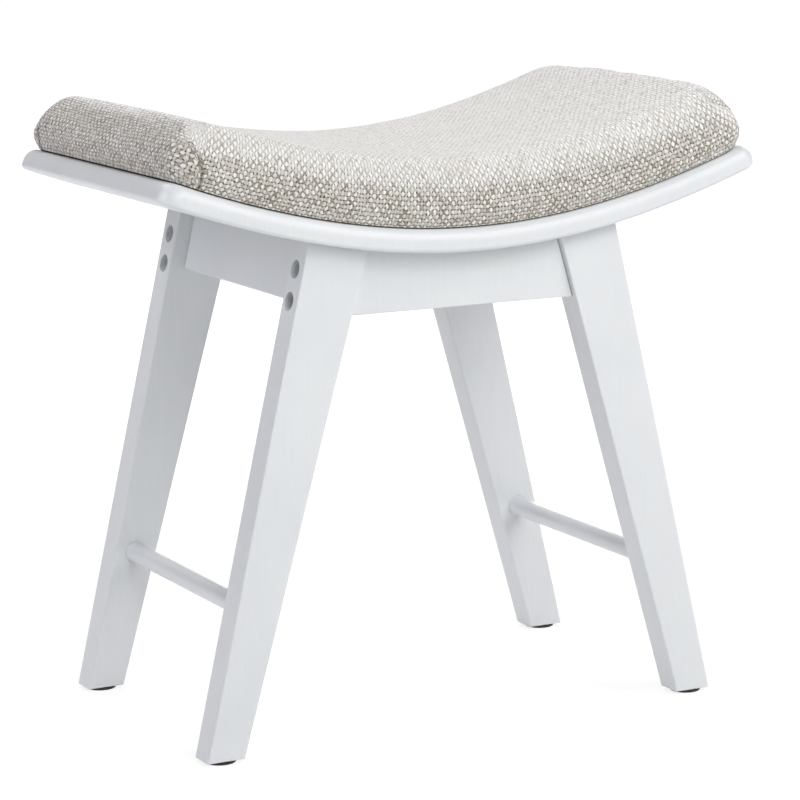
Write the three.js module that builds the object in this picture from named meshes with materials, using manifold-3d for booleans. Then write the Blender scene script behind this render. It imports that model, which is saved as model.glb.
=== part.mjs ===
// A vanity stool: a bent seat board with an upholstered cushion, carried by four splayed, tapered legs.
// The two side frames are glued up with wood dowels. Long aprons between them are bolted on through the
// legs, and the seat board is screwed down onto those aprons from below.
//
// Millimetres, +Z up. The origin is on the floor under the stool's middle. +X runs along the seat, and -Y
// is the front. Most pieces are made for the right or the front, and the left and the back are the same
// groups turned by half a turn.

import * as THREE from 'three';
import { mergeVertices } from 'three/addons/utils/BufferGeometryUtils.js';
import Module from 'manifold-3d';

const wasm = await Module();
wasm.setup();

// Clearances
const fit = 0.3; // between two pieces that touch
const overrun = 5; // how far a cut runs past the face that it opens
const foamEase = 0.8; // between the foam and the inside of its cover

// Frame, measured over the legs
const frameLength = 432;
const frameDepth = 258;

// Legs
const legThickness = 25.4;
const footWidth = 29.8;
const outerLean = THREE.MathUtils.degToRad(13);
const innerLean = THREE.MathUtils.degToRad(16);
const legEdge = 2;

// Glides
const glideRadius = 12;
const glideThickness = 2;
const glideEdge = 0.6;
const glideNailRadius = 1.5;
const glideNailLength = 12;

// Long aprons, at the front and the back
const longApronThickness = 18;
const longApronRecess = 4.7; // behind the legs' outer faces
const longApronBottom = 323.4; // above the floor
const apronEdge = 1.2;

// Side aprons, leaning with the legs
const sideApronThickness = 18;
const sideApronRecess = 13; // level, from the legs' outer faces
const sideApronBottom = 333.1; // of the outer lower edge, above the floor
const sideApronEdge = 1.5;

// Stretchers
const stretcherRadius = 7.6;
const stretcherHeight = 109.5;
const socketDepth = 14;

// Connector bolts, two at each end of a long apron, with washers and barrel nuts
const lowBoltRise = 13.3; // above the long apron's lower edge
const boltSpacing = 23;
const boltRadius = 3;
const boltHeadRadius = 5;
const boltHeadHeight = 6;
const boltKeyWidth = 5; // across the flats of the six-sided key
const boltKeyDepth = 3;
const boltKeySides = 6;
const boltChamfer = 0.75;
const boltPastNut = 3;
const boltHoleRoom = 2; // beyond the bolt's tip
const counterboreRadius = 6.8;
const counterboreDepth = 14;
const washerRadius = 6;
const washerThickness = 1.2;
const nutRadius = 5;
const nutLength = 12;
const nutInset = 30; // from the apron's end
const nutSlotWidth = 1.2;
const nutSlotDepth = 1.5;

// Wood dowels between the side aprons and the legs
const dowelRadius = 3;
const dowelDepth = 14; // into each of the two pieces
const dowelChamfer = 1;

// Seat board, bent along a cosine wave from its lowest line at the middle
const seatLength = 508; // along the curve
const seatWidth = 292;
const seatThickness = 18.5;
const seatCornerRadius = 15;
const seatUnderside = 366.5; // above the floor, at the middle
const saddleWaveHeight = 245; // from the wave's dip to its crest
const saddleHalfWave = 824; // from the dip to the crest, along the floor

// Seat screws, up through the long aprons
const seatScrewSpacing = 64;
const seatScrewRadius = 2.5;
const seatScrewHeadRadius = 4.5;
const seatScrewHeadHeight = 3;
const seatScrewSinking = 22; // of the head's bearing face, above the apron's lower edge
const seatScrewGrip = 13; // into the seat board

// Cushion, from its lining up
const cushionInset = 8.4; // of the cushion's foot, from the board's edge
const liningInset = 0.6; // of the lining, from the cushion's foot
const liningThickness = 0.8;
const coverThickness = 1.2;
const hemWidth = 25;
const hemCornerRadius = 8;
const panelThickness = 4;
const cushionHeight = 47.5; // from the cover's hem to the top edge's shoulder
const cushionCornerRadius = 17;
const cushionSwell = 5.4; // how far the sides stand out over the foot
const swellRise = 3.5; // of the widest line, above the foam's underside
const shoulderDepth = 22; // how far the rounded top edge reaches in
const shoulderPower = 2.1; // 2 is an ellipse, more is squarer
const middleCrown = 3; // of the top over its edges, along the middle
const middleCrownPower = 7;
const endCrown = 3.5; // of the top towards each end
const crownPower = 2;
const ridgeHalfWidth = 7; // of the narrow ring that closes the top

// Cushion screws, up through the seat board into the panel
const cushionScrewAlong = 150;
const cushionScrewAcross = 80;
const cushionScrewRadius = 2;
const cushionScrewHeadRadius = 4;
const cushionScrewHeadHeight = 2.4;
const cushionScrewGrip = 3; // into the panel
const cushionScrewSinking = 3.2; // of the head's bearing face, above the board's underside

// Every wood screw: its counterbore, its head's flat and rim, and its point
const screwBoreRoom = 0.6; // beside the head
const screwFlatShare = 1 / 2; // of the head's radius
const screwRimShare = 1 / 3; // of the head's height
const screwPointShare = 2; // the point's length, in radii of the screw

// Fineness
const arcSteps = 48;
const halvings = 40;
const hiddenSides = 12;
const holeSides = 16;
const boreSides = 28;
const rodSides = 24;
const edgeSteps = 2;
const legTopSteps = 5;
const longApronTopSteps = 16;
const sideApronTopSteps = 3;
const nosingSteps = 8;
const boardSteps = { along: 24, across: 1, corner: 4 };
const sheetSteps = { along: 20, across: 1, corner: 3 };
const cushionSteps = { along: 16, across: 5, corner: 4 };
const wallSteps = 2;
const coverShoulderSteps = 4;
const coverTopSteps = 3;
const liningShoulderSteps = 3;
const liningTopSteps = 2;
const weldTolerance = 1e-4;

// Levels above the seat board's middle surface
const boardTop = seatThickness / 2;
const undersideLevel = -(boardTop + fit);
const liningBottom = boardTop + fit;
const liningTop = liningBottom + liningThickness;
const hemBottom = liningTop + fit;
const hemTop = hemBottom + coverThickness;
const panelBottom = hemTop + fit;
const panelTop = panelBottom + panelThickness;
const foamBottom = panelTop + fit;
const swellLevel = foamBottom + swellRise;
const shoulderLevel = hemBottom + cushionHeight;
const cushionScrewSeat = -boardTop + cushionScrewSinking;

// The names of the lower and the upper of two pieces
const ranks = ['low', 'high'];

// Places worked out from the sizes
const seatMiddle = seatUnderside + seatThickness / 2;
const legFoot = glideThickness + fit;
const legPlace = frameDepth / 2 - legThickness / 2;
const longApronPlace = frameDepth / 2 - longApronRecess - longApronThickness / 2;
const boltHeights = [longApronBottom + lowBoltRise, longApronBottom + lowBoltRise + boltSpacing];
const footHalfLength = seatLength / 2 - cushionInset;
const footHalfWidth = seatWidth / 2 - cushionInset;
const seatScrewPlaces = [-seatScrewSpacing / 2, seatScrewSpacing / 2];

// Lines that lean inwards in the front view, each with its distance from the middle at the legs' feet
const legOuterLine = { foot: frameLength / 2, lean: outerLean };
const legInnerLine = { foot: frameLength / 2 - footWidth, lean: innerLean };
const apronEndLine = { foot: legInnerLine.foot - fit / Math.cos(innerLean), lean: innerLean };
const sideApronOuterLine = { foot: legOuterLine.foot - sideApronRecess, lean: outerLean };
const sideApronInnerLine = {
  foot: sideApronOuterLine.foot - sideApronThickness / Math.cos(outerLean),
  lean: outerLean,
};
const sideApronMiddleLine = {
  foot: (sideApronOuterLine.foot + sideApronInnerLine.foot) / 2,
  lean: outerLean,
};

const finishes = {
  paint: { color: 0xe6e9ea, roughness: 0.42, metalness: 0 },
  linen: { color: 0xc9c2ba, roughness: 0.95, metalness: 0 },
  lining: { color: 0x161616, roughness: 0.9, metalness: 0 },
  foam: { color: 0xeee3c2, roughness: 1, metalness: 0 },
  plywood: { color: 0xcfae7c, roughness: 0.7, metalness: 0 },
  beech: { color: 0xd8b58a, roughness: 0.6, metalness: 0 },
  zinc: { color: 0xb4b6b8, roughness: 0.35, metalness: 1 },
  glide: { color: 0x121212, roughness: 0.6, metalness: 0 },
};

// Solids and cuts

// Joins vertices that lie together and drops the triangles that this leaves without an area.
function weld(geometry) {
  const bare = geometry.clone();
  bare.deleteAttribute('normal');
  bare.deleteAttribute('uv');
  const merged = mergeVertices(bare, weldTolerance);
  const corners = merged.getIndex().array;
  const kept = [];
  for (let i = 0; i < corners.length; i += 3) {
    const [a, b, c] = corners.slice(i, i + 3);
    if (a !== b && b !== c && c !== a) kept.push(a, b, c);
  }
  merged.setIndex(kept);
  return merged;
}

function toSolid(geometry) {
  const welded = weld(geometry);
  const mesh = new wasm.Mesh({
    numProp: 3,
    vertProperties: new Float32Array(welded.getAttribute('position').array),
    triVerts: new Uint32Array(welded.getIndex().array),
  });
  return new wasm.Manifold(mesh);
}

function toGeometry(solid) {
  const { vertProperties, triVerts } = solid.getMesh();
  const geometry = new THREE.BufferGeometry();
  geometry.setAttribute('position', new THREE.BufferAttribute(new Float32Array(vertProperties), 3));
  geometry.setIndex(new THREE.BufferAttribute(new Uint32Array(triVerts), 1));
  return geometry;
}

function cut(geometry, tools) {
  let solid = toSolid(geometry);
  for (const tool of tools) solid = solid.subtract(toSolid(tool));
  return toGeometry(solid);
}

// A round bar from one point to another.
function bar(start, end, radius, sides) {
  const along = new THREE.Vector3().subVectors(end, start);
  const geometry = new THREE.CylinderGeometry(radius, radius, along.length(), sides);
  const up = new THREE.Vector3(0, 1, 0);
  const turn = new THREE.Quaternion().setFromUnitVectors(up, along.clone().normalize());
  geometry.applyQuaternion(turn);
  const middle = new THREE.Vector3().addVectors(start, end).multiplyScalar(1 / 2);
  return geometry.translate(middle.x, middle.y, middle.z);
}

// A solid of revolution about Y, from its profile of [radius, height] points in rising order.
function turned(profile, sides) {
  return new THREE.LatheGeometry(profile.map(([radius, height]) => new THREE.Vector2(radius, height)), sides);
}

// An outline in the front view, drawn in X and Z, given a thickness in Y about y = 0 and eased edges.
function slab(shape, thickness, edge) {
  const geometry = new THREE.ExtrudeGeometry(shape, {
    depth: thickness - 2 * edge,
    bevelEnabled: edge > 0,
    bevelThickness: edge,
    bevelSize: edge,
    bevelOffset: -edge,
    bevelSegments: edgeSteps,
    curveSegments: edgeSteps,
  });
  return geometry.translate(0, 0, edge - thickness / 2).rotateX(Math.PI / 2);
}

function mesh(name, geometry, finish) {
  const piece = new THREE.Mesh(weld(geometry), new THREE.MeshStandardMaterial(finish));
  piece.geometry.computeVertexNormals();
  piece.name = name;
  return piece;
}

// The bend of the seat

function saddleHeight(x) {
  return (saddleWaveHeight / 2) * (1 - Math.cos((Math.PI * x) / saddleHalfWave));
}

function saddleTilt(x) {
  const steepest = ((saddleWaveHeight / 2) * Math.PI) / saddleHalfWave;
  return Math.atan(steepest * Math.sin((Math.PI * x) / saddleHalfWave));
}

// The x of the point that lies a given length along the board's middle surface.
function planPlace(along) {
  const step = along / arcSteps;
  let x = 0;
  for (let i = 0; i < arcSteps; i++) {
    const halfway = x + (step / 2) * Math.cos(saddleTilt(x));
    x += step * Math.cos(saddleTilt(halfway));
  }
  return x;
}

// A point of the bent seat, from its place along it, across it and above its middle surface.
function onSaddle(along, across, above) {
  const x = planPlace(along);
  const tilt = saddleTilt(x);
  return new THREE.Vector3(
    x - above * Math.sin(tilt),
    across,
    seatMiddle + saddleHeight(x) + above * Math.cos(tilt),
  );
}

function lineAt(line, height) {
  return line.foot - (height - legFoot) * Math.tan(line.lean);
}

// How far along the seat a leaning line meets its underside.
function meetUnderside(line) {
  let low = 0;
  let high = seatLength / 2;
  for (let i = 0; i < halvings; i++) {
    const middle = (low + high) / 2;
    const point = onSaddle(middle, 0, undersideLevel);
    if (point.x < lineAt(line, point.z)) low = middle;
    else high = middle;
  }
  return (low + high) / 2;
}

// Points of the seat's underside between two places along it, as [x, z].
function undersidePoints(from, to, steps) {
  const points = [];
  for (let i = 0; i <= steps; i++) {
    const point = onSaddle(THREE.MathUtils.lerp(from, to, i / steps), 0, undersideLevel);
    points.push([point.x, point.z]);
  }
  return points;
}

// The z of the seat's underside over a place in the front view.
function undersideOver(x) {
  return onSaddle(meetUnderside({ foot: x, lean: 0 }), 0, undersideLevel).z;
}

function shapeOf(points) {
  return new THREE.Shape(points.map(([x, y]) => new THREE.Vector2(x, y)));
}

// Surfaces joined from rings of points

// A rectangle with round corners as [along, across] points, from the left end round by the front.
// Its first half is the front half, and its second half is the same points mirrored, in reverse.
function roundedRing(halfLength, halfWidth, radius, steps) {
  const side = halfLength - radius;
  const end = halfWidth - radius;
  const corner = [];
  for (let i = 1; i <= steps.across; i += 2) corner.push([halfLength, (-end * i) / steps.across]);
  for (let i = 1; i < steps.corner; i++) {
    const angle = ((Math.PI / 2) * i) / steps.corner;
    corner.push([side + radius * Math.cos(angle), -end - radius * Math.sin(angle)]);
  }
  const front = corner.map(([along, across]) => [-along, across]);
  for (let i = 0; i <= steps.along; i++) {
    front.push([THREE.MathUtils.lerp(-side, side, i / steps.along), -halfWidth]);
  }
  front.push(...corner.reverse());
  return [...front, ...front.map(([along, across]) => [along, -across]).reverse()];
}

// The closed surface over a stack of rings, with its first and last ring filled from front to back.
function loft(rings) {
  const count = rings[0].length;
  const points = rings.flat();
  const faces = [];
  const addQuad = (a, b, c, d) => faces.push(a, b, c, a, c, d);
  for (let level = 1; level < rings.length; level++) {
    const low = (level - 1) * count;
    const high = level * count;
    for (let i = 0; i < count; i++) {
      const next = (i + 1) % count;
      addQuad(low + i, low + next, high + next, high + i);
    }
  }
  const last = (rings.length - 1) * count;
  for (let i = 0; i + 1 < count / 2; i++) {
    const mirrored = count - 1 - i;
    addQuad(last + i, last + i + 1, last + mirrored - 1, last + mirrored);
    addQuad(mirrored, mirrored - 1, i + 1, i);
  }
  const geometry = new THREE.BufferGeometry().setFromPoints(points);
  geometry.setIndex(faces);
  return weld(geometry);
}

// One ring on the bent seat: a rounded rectangle at a level, or at a level given for each point.
function seatRing(halfLength, halfWidth, radius, level, steps) {
  return roundedRing(halfLength, halfWidth, radius, steps).map(([along, across]) => {
    const above = typeof level === 'function' ? level(along, across) : level;
    return onSaddle(along, across, above);
  });
}

// A thin sheet bent like the seat, between two levels.
function bentSheet(halfLength, halfWidth, radius, bottom, top) {
  const levels = [bottom, top];
  return loft(levels.map((level) => seatRing(halfLength, halfWidth, radius, level, sheetSteps)));
}

// Seat board

function seatBoardBlank() {
  const rings = [];
  for (let i = 0; i <= nosingSteps; i++) {
    const angle = (Math.PI * i) / nosingSteps - Math.PI / 2;
    const inset = boardTop * (1 - Math.cos(angle));
    const level = boardTop * Math.sin(angle);
    rings.push(
      seatRing(seatLength / 2 - inset, seatWidth / 2 - inset, seatCornerRadius - inset, level, boardSteps),
    );
  }
  return loft(rings);
}

// A round cut square to the bent seat.
function seatDrill(along, across, from, to, radius) {
  return bar(onSaddle(along, across, from), onSaddle(along, across, to), radius, hiddenSides);
}

function cushionScrewPlaces() {
  const places = [];
  for (const along of [-cushionScrewAlong, cushionScrewAlong]) {
    for (const across of [-cushionScrewAcross, cushionScrewAcross]) places.push([along, across]);
  }
  return places;
}

function makeSeatBoard() {
  const cuts = [];
  for (const [along, across] of cushionScrewPlaces()) {
    const below = -boardTop - overrun;
    const boreRadius = cushionScrewHeadRadius + screwBoreRoom;
    cuts.push(seatDrill(along, across, below, cushionScrewSeat, boreRadius));
    cuts.push(seatDrill(along, across, below, boardTop + overrun, cushionScrewRadius + fit));
  }
  for (const x of seatScrewPlaces) {
    for (const y of [-longApronPlace, longApronPlace]) {
      const start = new THREE.Vector3(x, y, seatUnderside - overrun);
      const stop = new THREE.Vector3(x, y, seatScrewTip(x) + fit);
      cuts.push(bar(start, stop, seatScrewRadius + fit, hiddenSides));
    }
  }
  return mesh('seat_board', cut(seatBoardBlank(), cuts), finishes.paint);
}

// Cushion

// How far the cover's side stands in from the cushion's foot at a level below its widest line.
function wallInset(level) {
  return -cushionSwell * Math.sin(((Math.PI / 2) * (level - hemBottom)) / (swellLevel - hemBottom));
}

// The rise of the cushion's top over its shoulder: a crown along the middle and one at each end.
function crown(along, across) {
  const u = Math.min(1, Math.abs(along) / footHalfLength);
  const v = Math.min(1, Math.abs(across) / footHalfWidth);
  const dome = 1 - v ** crownPower;
  return middleCrown * (1 - u ** middleCrownPower) * dome + endCrown * u ** crownPower * dome;
}

// One ring of the cushion's side or top, held a skin's thickness inside the outer surface.
function cushionRing(inset, skin, rise, radius) {
  const halfLength = footHalfLength - inset - skin;
  const halfWidth = footHalfWidth - inset - skin;
  const floor = hemBottom + skin;
  const level = (along, across) => {
    const top = shoulderLevel - skin + crown(along, across);
    return floor + rise * (top - floor);
  };
  return seatRing(halfLength, halfWidth, Math.min(radius, halfWidth), level, cushionSteps);
}

// The rings over the rounded top edge, from the widest line up, and on over the top to the narrow ridge.
function cushionTopRings(skin, shoulderSteps, topSteps) {
  const rings = [];
  const swellShare = (swellLevel - hemBottom) / (shoulderLevel - hemBottom);
  const cornerRadius = cushionCornerRadius - skin;
  for (let i = 0; i <= shoulderSteps; i++) {
    const angle = ((Math.PI / 2) * i) / shoulderSteps;
    const inwards = 1 - Math.cos(angle) ** (2 / shoulderPower);
    const upwards = Math.sin(angle) ** (2 / shoulderPower);
    const rise = swellShare + (1 - swellShare) * upwards;
    rings.push(cushionRing(shoulderDepth * inwards - cushionSwell, skin, rise, cornerRadius));
  }
  const start = shoulderDepth - cushionSwell;
  const ridge = footHalfWidth - skin - ridgeHalfWidth;
  for (let i = 1; i <= topSteps; i++) {
    const share = i / topSteps;
    const radius = THREE.MathUtils.lerp(cornerRadius, ridgeHalfWidth, share);
    rings.push(cushionRing(THREE.MathUtils.lerp(start, ridge, share), skin, 1, radius));
  }
  return rings;
}

// A ring at one level, inset from the cushion's foot.
function levelRing(inset, radius, level) {
  return seatRing(footHalfLength - inset, footHalfWidth - inset, radius, level, cushionSteps);
}

// The rings of the swelling side, from a level up to just under the widest line.
function wallRings(from, skin) {
  const rings = [];
  for (let i = 0; i < wallSteps; i++) {
    const level = THREE.MathUtils.lerp(from, swellLevel, i / wallSteps);
    rings.push(levelRing(wallInset(level) + skin, cushionCornerRadius - skin, level));
  }
  return rings;
}

// The cover is one skin: down its inside from the top, round the hem that is turned under, and up outside.
function makeCushionCover() {
  const insideTop = cushionTopRings(coverThickness, liningShoulderSteps, liningTopSteps);
  const inside = [...wallRings(hemTop, coverThickness), ...insideTop].reverse();
  const hem = [hemTop, hemBottom].map((level) => levelRing(hemWidth, hemCornerRadius, level));
  const outsideTop = cushionTopRings(0, coverShoulderSteps, coverTopSteps);
  const rings = [...inside, ...hem, ...wallRings(hemBottom, 0), ...outsideTop];
  return mesh('cushion_cover', loft(rings), finishes.linen);
}

function makeCushionFoam() {
  const skin = coverThickness + foamEase;
  const ridge = footHalfWidth - ridgeHalfWidth;
  const base = [ridge, ridge / 2].map((inset) => levelRing(inset, ridgeHalfWidth, foamBottom));
  const top = cushionTopRings(skin, liningShoulderSteps, liningTopSteps);
  return mesh('cushion_foam', loft([...base, ...wallRings(foamBottom, skin), ...top]), finishes.foam);
}

function makeCushionPanel() {
  const inset = coverThickness + fit;
  const halfLength = footHalfLength - inset;
  const halfWidth = footHalfWidth - inset;
  const blank = bentSheet(halfLength, halfWidth, cushionCornerRadius - inset, panelBottom, panelTop);
  const cuts = cushionScrewPlaces().map(([along, across]) =>
    seatDrill(along, across, boardTop, cushionScrewTip() + fit, cushionScrewRadius + fit),
  );
  return mesh('cushion_panel', cut(blank, cuts), finishes.plywood);
}

function makeCushionLining() {
  const halfLength = footHalfLength - liningInset;
  const halfWidth = footHalfWidth - liningInset;
  const blank = bentSheet(halfLength, halfWidth, cushionCornerRadius - liningInset, liningBottom, liningTop);
  const cuts = cushionScrewPlaces().map(([along, across]) =>
    seatDrill(along, across, boardTop, panelBottom, cushionScrewRadius + fit),
  );
  return mesh('cushion_lining', cut(blank, cuts), finishes.lining);
}

// Screws

function cushionScrewTip() {
  return panelBottom + cushionScrewGrip;
}

// The height of a seat screw's tip, inside the board.
function seatScrewTip(x) {
  return undersideOver(Math.abs(x)) + fit + seatScrewGrip;
}

// A screw along +Y with its head's bearing face at the origin.
function screwGeometry(radius, headRadius, headHeight, length) {
  return turned(
    [
      [0, -headHeight],
      [headRadius * screwFlatShare, -headHeight],
      [headRadius, -headHeight * screwRimShare],
      [headRadius, 0],
      [radius, 0],
      [radius, length - radius * screwPointShare],
      [0, length],
    ],
    hiddenSides,
  );
}

function makeCushionScrews() {
  const group = new THREE.Group();
  const bearing = cushionScrewSeat - fit;
  const length = cushionScrewTip() - bearing;
  for (const [along, across] of cushionScrewPlaces()) {
    const name = `cushion_screw_${across < 0 ? 'front' : 'back'}_${along < 0 ? 'left' : 'right'}`;
    const screw = mesh(
      name,
      screwGeometry(cushionScrewRadius, cushionScrewHeadRadius, cushionScrewHeadHeight, length),
      finishes.zinc,
    );
    screw.position.copy(onSaddle(along, across, bearing));
    screw.rotation.set(Math.PI / 2, -saddleTilt(planPlace(along)), 0, 'YXZ');
    group.add(screw);
  }
  return group;
}

// Side frames

// The right leg in the front view: its two leaning sides, and a top scribed to the seat's underside.
function legShape() {
  const top = undersidePoints(meetUnderside(legOuterLine), meetUnderside(legInnerLine), legTopSteps);
  return shapeOf([[legInnerLine.foot, legFoot], [legOuterLine.foot, legFoot], ...top]);
}

// A bolt's counterbore and clearance hole through the leg. Its head's seat is a level depth inside.
function legBoltCuts(height, facing) {
  const face = lineAt(legOuterLine, height);
  const seat = face - counterboreDepth;
  const mouth = face + overrun;
  const inside = lineAt(legInnerLine, height) - overrun;
  const at = (x) => new THREE.Vector3(x, facing * (longApronPlace - legPlace), height);
  return [
    bar(at(seat), at(mouth), counterboreRadius, boreSides),
    bar(at(inside), at(seat + overrun), boltRadius + fit, hiddenSides),
  ];
}

// The heights of the two wood dowels: between the bolts, and halfway from the upper bolt to the apron's top.
function dowelHeights() {
  const [lowBolt, highBolt] = boltHeights;
  const top = undersideOver(lineAt(sideApronMiddleLine, highBolt));
  return [(lowBolt + highBolt) / 2, (highBolt + boltRadius + fit + top) / 2];
}

// The leg that faces +Y or -Y, about its own middle plane. Its sockets open in the face towards the middle.
function legGeometry(facing) {
  const face = -facing * (legThickness / 2);
  const cuts = boltHeights.flatMap((height) => legBoltCuts(height, facing));
  const addSocket = (x, z, depth, radius, sides) => {
    const mouth = new THREE.Vector3(x, face - facing * overrun, z);
    const bottom = new THREE.Vector3(x, face + facing * depth, z);
    cuts.push(bar(mouth, bottom, radius, sides));
  };
  for (const height of dowelHeights()) {
    const x = lineAt(sideApronMiddleLine, height);
    addSocket(x, height, dowelDepth + fit, dowelRadius + fit, hiddenSides);
  }
  addSocket(stretcherPlace(), stretcherHeight, socketDepth + fit, stretcherRadius + fit, rodSides);
  const below = new THREE.Vector3(footMiddle(), 0, legFoot - overrun);
  const nailTop = new THREE.Vector3(footMiddle(), 0, legFoot + glideNailLength + fit);
  cuts.push(bar(below, nailTop, glideNailRadius + fit, hiddenSides));
  return cut(slab(legShape(), legThickness, legEdge), cuts);
}

function footMiddle() {
  return (legInnerLine.foot + legOuterLine.foot) / 2;
}

// The middle of the leg's width at the stretcher's height.
function stretcherPlace() {
  return (lineAt(legInnerLine, stretcherHeight) + lineAt(legOuterLine, stretcherHeight)) / 2;
}

// The side apron's section, square to its leaning faces below and scribed to the seat's underside above.
function sideApronShape() {
  const lift = (sideApronBottom - legFoot) / Math.cos(outerLean);
  const down = new THREE.Vector2(Math.sin(outerLean), -Math.cos(outerLean));
  const inwards = new THREE.Vector2(-Math.cos(outerLean), -Math.sin(outerLean));
  const outer = new THREE.Vector2(sideApronOuterLine.foot, legFoot).addScaledVector(down, -lift);
  const inner = outer.clone().addScaledVector(inwards, sideApronThickness);
  const shape = new THREE.Shape();
  const move = (corner, direction) => corner.clone().addScaledVector(direction, sideApronEdge);
  const outerUp = move(outer, down.clone().negate());
  const outerIn = move(outer, inwards);
  const innerOut = move(inner, inwards.clone().negate());
  const innerUp = move(inner, down.clone().negate());
  shape.moveTo(innerUp.x, innerUp.y);
  shape.quadraticCurveTo(inner.x, inner.y, innerOut.x, innerOut.y);
  shape.lineTo(outerIn.x, outerIn.y);
  shape.quadraticCurveTo(outer.x, outer.y, outerUp.x, outerUp.y);
  const from = meetUnderside(sideApronOuterLine);
  const to = meetUnderside(sideApronInnerLine);
  for (const [x, z] of undersidePoints(from, to, sideApronTopSteps)) shape.lineTo(x, z);
  return shape;
}

function sideApronGeometry() {
  const length = frameDepth - 2 * legThickness - 2 * fit;
  const cuts = [];
  for (const facing of [-1, 1]) {
    for (const height of dowelHeights()) {
      const x = lineAt(sideApronMiddleLine, height);
      const end = (facing * length) / 2;
      const start = new THREE.Vector3(x, end + facing * overrun, height);
      const stop = new THREE.Vector3(x, end - facing * (dowelDepth + fit), height);
      cuts.push(bar(start, stop, dowelRadius + fit, hiddenSides));
    }
  }
  return cut(slab(sideApronShape(), length, 0), cuts);
}

function dowelGeometry() {
  const half = dowelDepth + fit / 2;
  return turned(
    [
      [0, -half],
      [dowelRadius - dowelChamfer, -half],
      [dowelRadius, dowelChamfer - half],
      [dowelRadius, half - dowelChamfer],
      [dowelRadius - dowelChamfer, half],
      [0, half],
    ],
    hiddenSides,
  );
}

function stretcherGeometry() {
  const half = frameDepth / 2 - legThickness + socketDepth;
  return bar(new THREE.Vector3(0, -half, 0), new THREE.Vector3(0, half, 0), stretcherRadius, rodSides);
}

// A disc under the foot with a nail up into it, turned about Z.
function glideGeometry() {
  const profile = [
    [0, 0],
    [glideRadius - glideEdge, 0],
    [glideRadius, glideEdge],
    [glideRadius, glideThickness],
    [glideNailRadius, glideThickness],
    [glideNailRadius, legFoot + glideNailLength - 2 * glideNailRadius],
    [0, legFoot + glideNailLength],
  ];
  return turned(profile, rodSides).rotateX(Math.PI / 2);
}

// The right side frame. The left one is the same, turned, so its far leg is the front one.
function makeSideFrame(side, farEnd, nearEnd) {
  const frame = new THREE.Group();
  for (const [end, facing] of [[farEnd, 1], [nearEnd, -1]]) {
    const leg = mesh(`leg_${end}_${side}`, legGeometry(facing), finishes.paint);
    leg.position.y = facing * legPlace;
    const glide = mesh(`glide_${end}_${side}`, glideGeometry(), finishes.glide);
    glide.position.set(footMiddle(), facing * legPlace, 0);
    frame.add(leg, glide);
    const joint = facing * (frameDepth / 2 - legThickness - fit / 2);
    dowelHeights().forEach((height, i) => {
      const dowel = mesh(`dowel_${end}_${side}_${ranks[i]}`, dowelGeometry(), finishes.beech);
      dowel.position.set(lineAt(sideApronMiddleLine, height), joint, height);
      frame.add(dowel);
    });
  }
  frame.add(mesh(`apron_${side}`, sideApronGeometry(), finishes.paint));
  const stretcher = mesh(`stretcher_${side}`, stretcherGeometry(), finishes.paint);
  stretcher.position.set(stretcherPlace(), 0, stretcherHeight);
  frame.add(stretcher);
  return frame;
}

// Long aprons and their fastenings

function headSeat(height) {
  return lineAt(legOuterLine, height) - counterboreDepth;
}

function nutPlace(height) {
  return lineAt(apronEndLine, height) - nutInset;
}

// From the underside of the head, which sits on the washer, to the tip. The longer reach sets both bolts.
function boltLength() {
  const reaches = boltHeights.map((height) => headSeat(height) - nutPlace(height));
  return Math.max(...reaches) + 2 * fit + washerThickness + nutRadius + boltPastNut;
}

function boltTip(height) {
  return headSeat(height) + 2 * fit + washerThickness - boltLength();
}

function longApronShape() {
  const reach = meetUnderside(apronEndLine);
  const bottom = lineAt(apronEndLine, longApronBottom);
  const top = undersidePoints(reach, -reach, longApronTopSteps);
  return shapeOf([[-bottom, longApronBottom], [bottom, longApronBottom], ...top]);
}

function longApronGeometry() {
  const cuts = [];
  for (const side of [-1, 1]) {
    for (const height of boltHeights) {
      const at = (x) => new THREE.Vector3(side * x, 0, height);
      const mouth = lineAt(apronEndLine, height) + overrun;
      cuts.push(bar(at(boltTip(height) - boltHoleRoom), at(mouth), boltRadius + fit, hiddenSides));
      const nut = nutPlace(height);
      const back = new THREE.Vector3(side * nut, longApronThickness / 2 + overrun, height);
      const deep = new THREE.Vector3(side * nut, -nutLength / 2 - fit, height);
      cuts.push(bar(deep, back, nutRadius + fit, holeSides));
    }
  }
  for (const x of seatScrewPlaces) {
    const at = (z) => new THREE.Vector3(x, 0, z);
    const seat = longApronBottom + seatScrewSinking;
    const boreRadius = seatScrewHeadRadius + screwBoreRoom;
    cuts.push(bar(at(longApronBottom - overrun), at(seat), boreRadius, holeSides));
    const top = undersideOver(Math.abs(x)) + overrun;
    cuts.push(bar(at(seat - overrun), at(top), seatScrewRadius + fit, hiddenSides));
  }
  return cut(slab(longApronShape(), longApronThickness, apronEdge), cuts);
}

// A socket head bolt along -X with the underside of its head at the origin.
function boltGeometry() {
  const length = boltLength();
  const body = turned(
    [
      [0, -length],
      [boltRadius - boltChamfer, -length],
      [boltRadius, boltChamfer - length],
      [boltRadius, 0],
      [boltHeadRadius, 0],
      [boltHeadRadius, boltHeadHeight],
      [0, boltHeadHeight],
    ],
    hiddenSides,
  );
  const keyRadius = boltKeyWidth / 2 / Math.cos(Math.PI / boltKeySides);
  const keyBottom = new THREE.Vector3(0, boltHeadHeight - boltKeyDepth, 0);
  const keyMouth = new THREE.Vector3(0, boltHeadHeight + overrun, 0);
  return cut(body, [bar(keyBottom, keyMouth, keyRadius, boltKeySides)]).rotateZ(-Math.PI / 2);
}

function washerGeometry() {
  const inner = boltRadius + fit;
  const ring = turned(
    [
      [inner, 0],
      [washerRadius, 0],
      [washerRadius, washerThickness],
      [inner, washerThickness],
      [inner, 0],
    ],
    holeSides,
  );
  return ring.rotateZ(-Math.PI / 2);
}

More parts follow.
